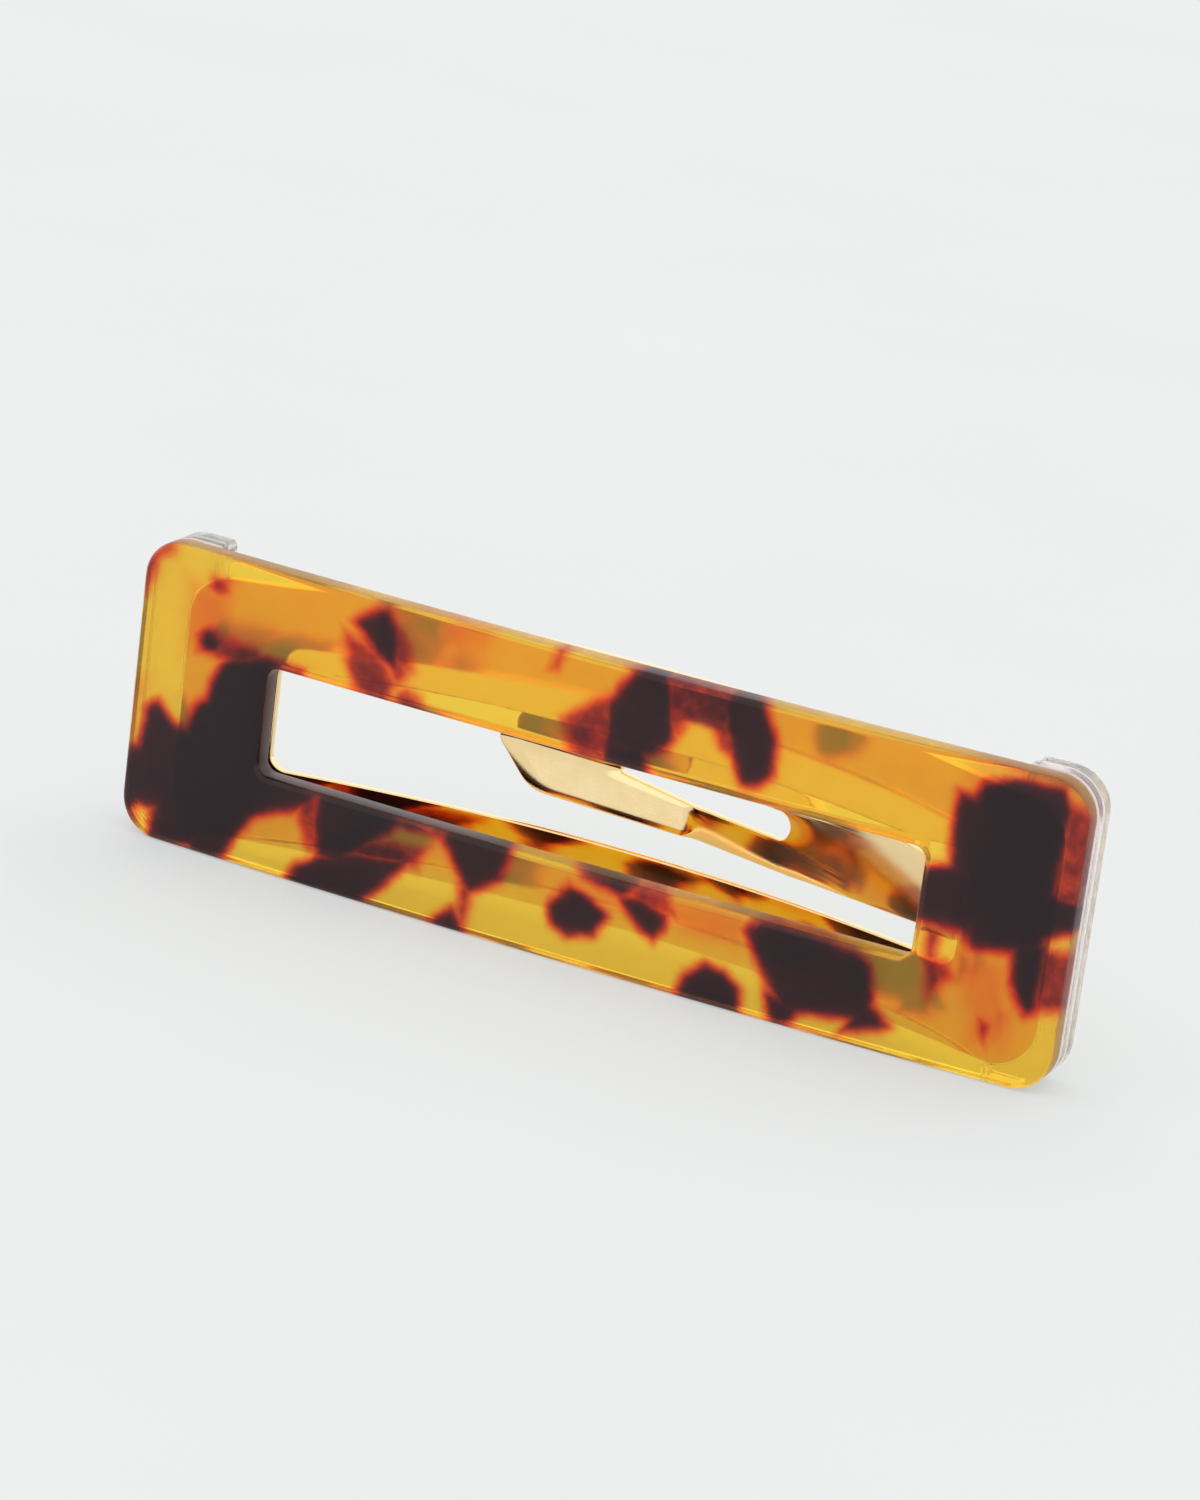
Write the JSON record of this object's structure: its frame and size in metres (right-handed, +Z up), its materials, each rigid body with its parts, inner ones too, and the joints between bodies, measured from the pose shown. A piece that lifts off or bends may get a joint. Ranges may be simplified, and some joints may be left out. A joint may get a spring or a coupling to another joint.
{
  "type": "snap hair barrette",
  "caption": "Rectangular windowed acetate hair clip with a bowed metal snap frame, a slotted tongue and clear end caps.",
  "frame": {"origin": "centre of the front plate's bottom edge, half-way through the plate's thickness; the clip stands on this long edge", "axes": "+X along the clip towards the end that carries the tongue's root, -Y is the decorated face, +Z up across the short side"},
  "size_m": [0.08, 0.0148, 0.0245],
  "materials": {
    "tortoise_acetate": "polished translucent tortoiseshell acetate",
    "gold_steel": "polished pale gold plating on spring steel",
    "clear_acetate": "polished clear acetate with a faint lavender tint"
  },
  "bodies": {
    "clip": {"front_plate": "tortoise_acetate", "snap_frame": "gold_steel", "left_end_cap": "clear_acetate", "right_end_cap": "clear_acetate", "left_spacer": "clear_acetate", "right_spacer": "clear_acetate"},
    "tongue": {"tongue": "gold_steel"}
  },
  "joints": [
    {"name": "tongue_snap", "type": "hinge", "parent": "clip", "child": "tongue", "pos_m": [0.03, 0.00355, 0.01165], "axis": [0, 0, 1], "range_deg": [-10, 14]}
  ]
}
